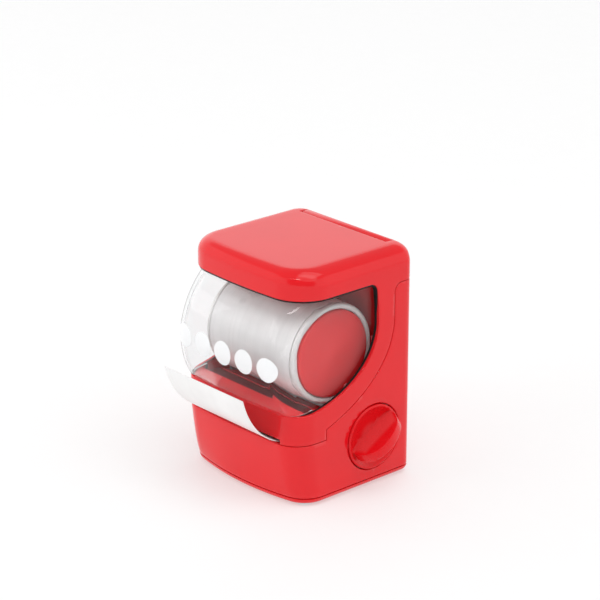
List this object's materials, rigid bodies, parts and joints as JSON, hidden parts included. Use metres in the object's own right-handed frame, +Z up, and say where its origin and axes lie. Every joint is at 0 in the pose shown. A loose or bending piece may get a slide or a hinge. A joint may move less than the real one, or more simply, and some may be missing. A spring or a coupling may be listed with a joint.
{
  "type": "tape dispenser",
  "caption": "Desk tape dispenser: red base with side knob and feed roller, hinged lid with clear drum window, wide tape roll on a spindle, tape leaving a front slot.",
  "frame": {"origin": "bottom centre of the bounding box, on the surface the feet stand on; the body's middle plane is at x = -5.4 mm, because the knob's grip sticks out on the +X side", "axes": "+Z up, +Y to the hinge at the rear, +X to the knob side; the tape leaves towards -Y"},
  "size_m": [0.0844, 0.0834, 0.102],
  "materials": {
    "red_plastic": "glossy moulded",
    "dark_red_plastic": "satin moulded",
    "clear_plastic": "clear polished",
    "tape": "smooth",
    "pale_plastic": "satin",
    "core_board": "raw",
    "grey_plastic": "fine texture",
    "nylon": "satin",
    "rubber": "matte",
    "steel": "drawn and plated"
  },
  "bodies": {
    "base": {"base_shell": "red_plastic", "base_plate": "red_plastic", "foot_1": "rubber", "foot_2": "rubber", "foot_3": "rubber", "foot_4": "rubber", "base_screw_1": "steel", "base_screw_2": "steel", "base_screw_3": "steel", "base_screw_4": "steel", "left_side_plate": "grey_plastic", "right_side_plate": "grey_plastic", "roll_tray": "red_plastic", "roll_bracket": "grey_plastic", "spindle": "steel", "tape_strip": "tape", "cutter_blade": "steel", "blade_holder": "grey_plastic", "knob_outer_bush": "nylon", "knob_inner_bush": "nylon", "idler_pin": "steel", "left_feed_bush": "nylon", "right_feed_bush": "nylon", "hinge_pin": "steel"},
    "lid": {"lid_shell": "red_plastic", "clear_window": "clear_plastic", "sill_bracket": "red_plastic", "pinch_pin": "steel", "left_pinch_spring": "steel", "right_pinch_spring": "steel", "window_screw_1": "steel", "window_screw_2": "steel", "window_screw_3": "steel", "window_screw_4": "steel"},
    "knob_drive": {"knob": "red_plastic", "knob_shaft": "steel", "drive_gear": "nylon", "knob_shaft_clip": "steel"},
    "idler": {"idler_gear": "nylon"},
    "feed": {"feed_shaft": "steel", "feed_roller": "rubber", "feed_gear": "nylon", "feed_shaft_clip": "steel"},
    "roll": {"tape_roll": "tape", "tape_core": "core_board", "spool_hub": "dark_red_plastic", "left_roll_cap": "red_plastic", "left_roll_rim": "pale_plastic", "right_roll_cap": "red_plastic", "right_roll_rim": "pale_plastic"},
    "pinch": {"pinch_roller": "rubber"}
  },
  "joints": [
    {"name": "lid_hinge", "type": "hinge", "parent": "base", "child": "lid", "pos_m": [-0.00537, 0.0376, 0.0996], "axis": [-1, 0, 0], "range_deg": [0, 100]},
    {"name": "knob_turn", "type": "hinge", "parent": "base", "child": "knob_drive", "pos_m": [0.02863, 0.0198, 0.022], "axis": [1, 0, 0], "continuous": true},
    {"name": "idler_turn", "type": "hinge", "parent": "base", "child": "idler", "pos_m": [0.02382, 0.0008, 0.022], "axis": [1, 0, 0], "continuous": true},
    {"name": "feed_turn", "type": "hinge", "parent": "base", "child": "feed", "pos_m": [-0.00537, -0.0122, 0.022], "axis": [1, 0, 0], "continuous": true},
    {"name": "roll_turn", "type": "hinge", "parent": "base", "child": "roll", "pos_m": [-0.00537, 0.0046, 0.0606], "axis": [1, 0, 0], "continuous": true},
    {"name": "pinch_turn", "type": "hinge", "parent": "lid", "child": "pinch", "pos_m": [-0.00537, -0.0122, 0.03295], "axis": [1, 0, 0], "continuous": true}
  ],
  "couplings": [
    {"joint": "idler_turn", "follows": "knob_turn", "ratio": -1.7143},
    {"joint": "feed_turn", "follows": "knob_turn", "ratio": 2},
    {"joint": "roll_turn", "follows": "knob_turn", "ratio": -0.58931},
    {"joint": "pinch_turn", "follows": "knob_turn", "ratio": -2.8939}
  ]
}
